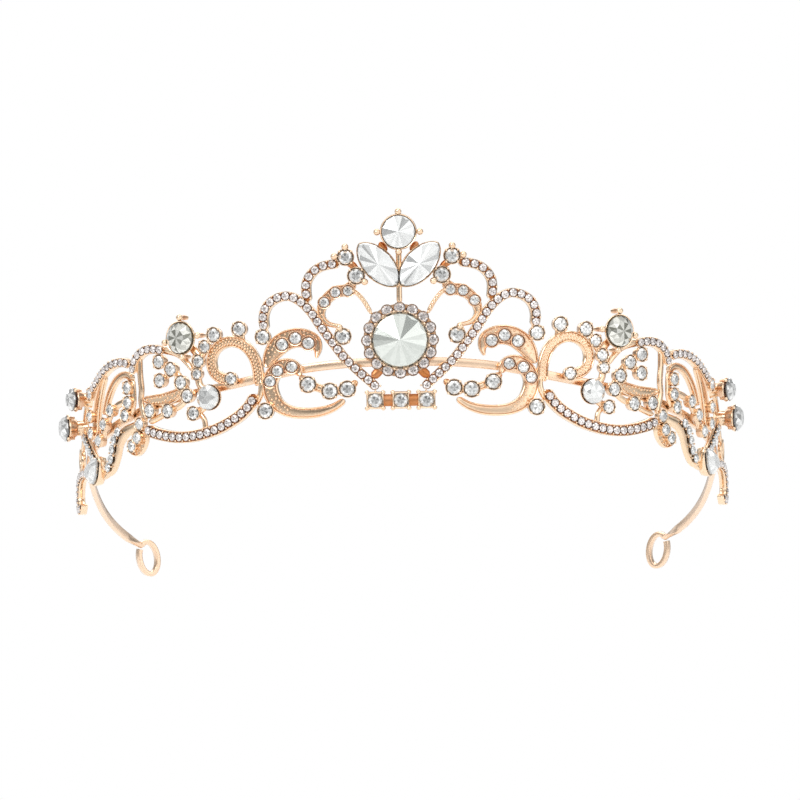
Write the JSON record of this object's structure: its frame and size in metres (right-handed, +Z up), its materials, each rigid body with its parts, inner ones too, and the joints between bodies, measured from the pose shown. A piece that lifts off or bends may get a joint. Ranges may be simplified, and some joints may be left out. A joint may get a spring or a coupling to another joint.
{
  "type": "bridal tiara",
  "caption": "Scrollwork tiara of rose-gold castings set with clear stones, on an open sprung band with a hairpin loop at each end.",
  "frame": {"origin": "the centre of the wearer's head at the height where the tiara grips it, 60 mm behind the front of the ornament and 15 mm below its base bar", "axes": "+Z up the head, +X to the right as the tiara is seen from the front, -Y out of the front"},
  "size_m": [0.1558, 0.1156, 0.0817],
  "materials": {
    "cast_gold": "polished rose-gold plating over cast relief, darker in the recesses",
    "band_gold": "smooth satin rose-gold plating on flat wire",
    "clear_stone": "faceted clear crystal with a foiled back",
    "pave_stone": "small faceted clear stones in grey cement",
    "smoky_stone": "faceted crystal with a slight smoky tint and a foiled back",
    "green_grey_stone": "pointed faceted crystal with a faint green-grey tint and a foiled back"
  },
  "bodies": {
    "root": {"arch_pave_left": "pave_stone", "arch_pave_right": "pave_stone", "band_wire": "band_gold", "base_bar": "cast_gold", "crest_arches_left": "cast_gold", "crest_arches_right": "cast_gold", "crest_pave_left": "pave_stone", "crest_pave_right": "pave_stone", "crest_scroll_left": "cast_gold", "crest_scroll_right": "cast_gold", "end_crest_left": "cast_gold", "end_crest_right": "cast_gold", "end_pave_left": "pave_stone", "end_pave_right": "pave_stone", "end_spray_left": "cast_gold", "end_spray_right": "cast_gold", "halo_stones": "pave_stone", "leaf_stone_left": "clear_stone", "leaf_stone_right": "clear_stone", "loop_scroll_left": "cast_gold", "loop_scroll_right": "cast_gold", "lower_leaf_left": "cast_gold", "lower_leaf_right": "cast_gold", "medallion_setting": "cast_gold", "medallion_stone": "green_grey_stone", "outer_stone_left": "clear_stone", "outer_stone_right": "clear_stone", "pear_stone_left": "clear_stone", "pear_stone_right": "clear_stone", "rear_arch_left": "cast_gold", "rear_arch_pave_left": "pave_stone", "rear_arch_pave_right": "pave_stone", "rear_arch_right": "cast_gold", "rear_scroll_left": "cast_gold", "rear_scroll_right": "cast_gold", "rear_stem_left": "cast_gold", "rear_stem_right": "cast_gold", "rear_stone_left": "clear_stone", "rear_stone_right": "clear_stone", "round_stone_left": "clear_stone", "round_stone_right": "clear_stone", "side_arc_left": "cast_gold", "side_arc_pave_left": "pave_stone", "side_arc_pave_right": "pave_stone", "side_arc_right": "cast_gold", "side_arch_left": "cast_gold", "side_arch_pave_left": "pave_stone", "side_arch_pave_right": "pave_stone", "side_arch_right": "cast_gold", "side_cluster_left": "cast_gold", "side_cluster_right": "cast_gold", "side_stone_left": "smoky_stone", "side_stone_right": "smoky_stone", "spray_branch_left": "cast_gold", "spray_branch_right": "cast_gold", "top_setting": "cast_gold", "top_stone": "clear_stone", "upper_leaf_left": "cast_gold", "upper_leaf_right": "cast_gold"}
  },
  "joints": []
}
